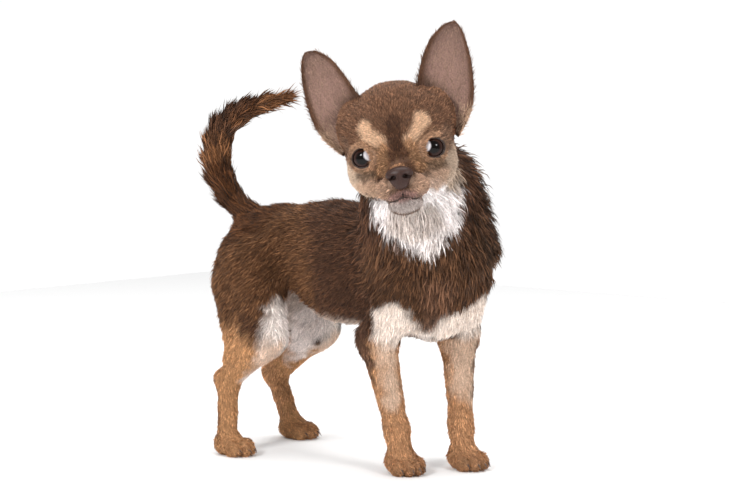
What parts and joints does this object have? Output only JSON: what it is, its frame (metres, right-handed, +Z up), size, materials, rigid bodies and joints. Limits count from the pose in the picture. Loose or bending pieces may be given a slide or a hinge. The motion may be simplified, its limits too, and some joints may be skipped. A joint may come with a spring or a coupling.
{
  "type": "standing chihuahua dog, life-size still model",
  "caption": "Still life-size chihuahua standing on four paws, head turned to its right, large upright ears and tail carried up in a curve.",
  "frame": {"origin": "on the floor under the middle of the model's box", "axes": "+X the way the body faces, +Y towards its left side, +Z up from the floor"},
  "size_m": [0.2792, 0.1479, 0.3436],
  "materials": {
    "brown_coat": "short dense hair, chocolate brown",
    "tan_coat": "short dense hair, tan and cream",
    "ear": "thin skin with very short hair",
    "eye": "wet and clear, very dark brown",
    "nose": "moist, finely pebbled",
    "claw": "horn, satin"
  },
  "bodies": {
    "root": {"claw_front_left_1": "claw", "claw_front_left_2": "claw", "claw_front_left_3": "claw", "claw_front_left_4": "claw", "claw_front_right_1": "claw", "claw_front_right_2": "claw", "claw_front_right_3": "claw", "claw_front_right_4": "claw", "claw_hind_left_1": "claw", "claw_hind_left_2": "claw", "claw_hind_left_3": "claw", "claw_hind_left_4": "claw", "claw_hind_right_1": "claw", "claw_hind_right_2": "claw", "claw_hind_right_3": "claw", "claw_hind_right_4": "claw", "ear_left": "ear", "ear_right": "ear", "eye_left": "eye", "eye_right": "eye", "foreleg_left": "tan_coat", "foreleg_right": "tan_coat", "forepaw_left": "tan_coat", "forepaw_right": "tan_coat", "head": "brown_coat", "hind_paw_left": "tan_coat", "hind_paw_right": "tan_coat", "neck": "brown_coat", "nose": "nose", "shank_left": "tan_coat", "shank_right": "tan_coat", "tail_base": "brown_coat", "tail_middle": "brown_coat", "tail_tip": "brown_coat", "thigh_left": "brown_coat", "thigh_right": "brown_coat", "torso": "brown_coat"}
  },
  "joints": []
}
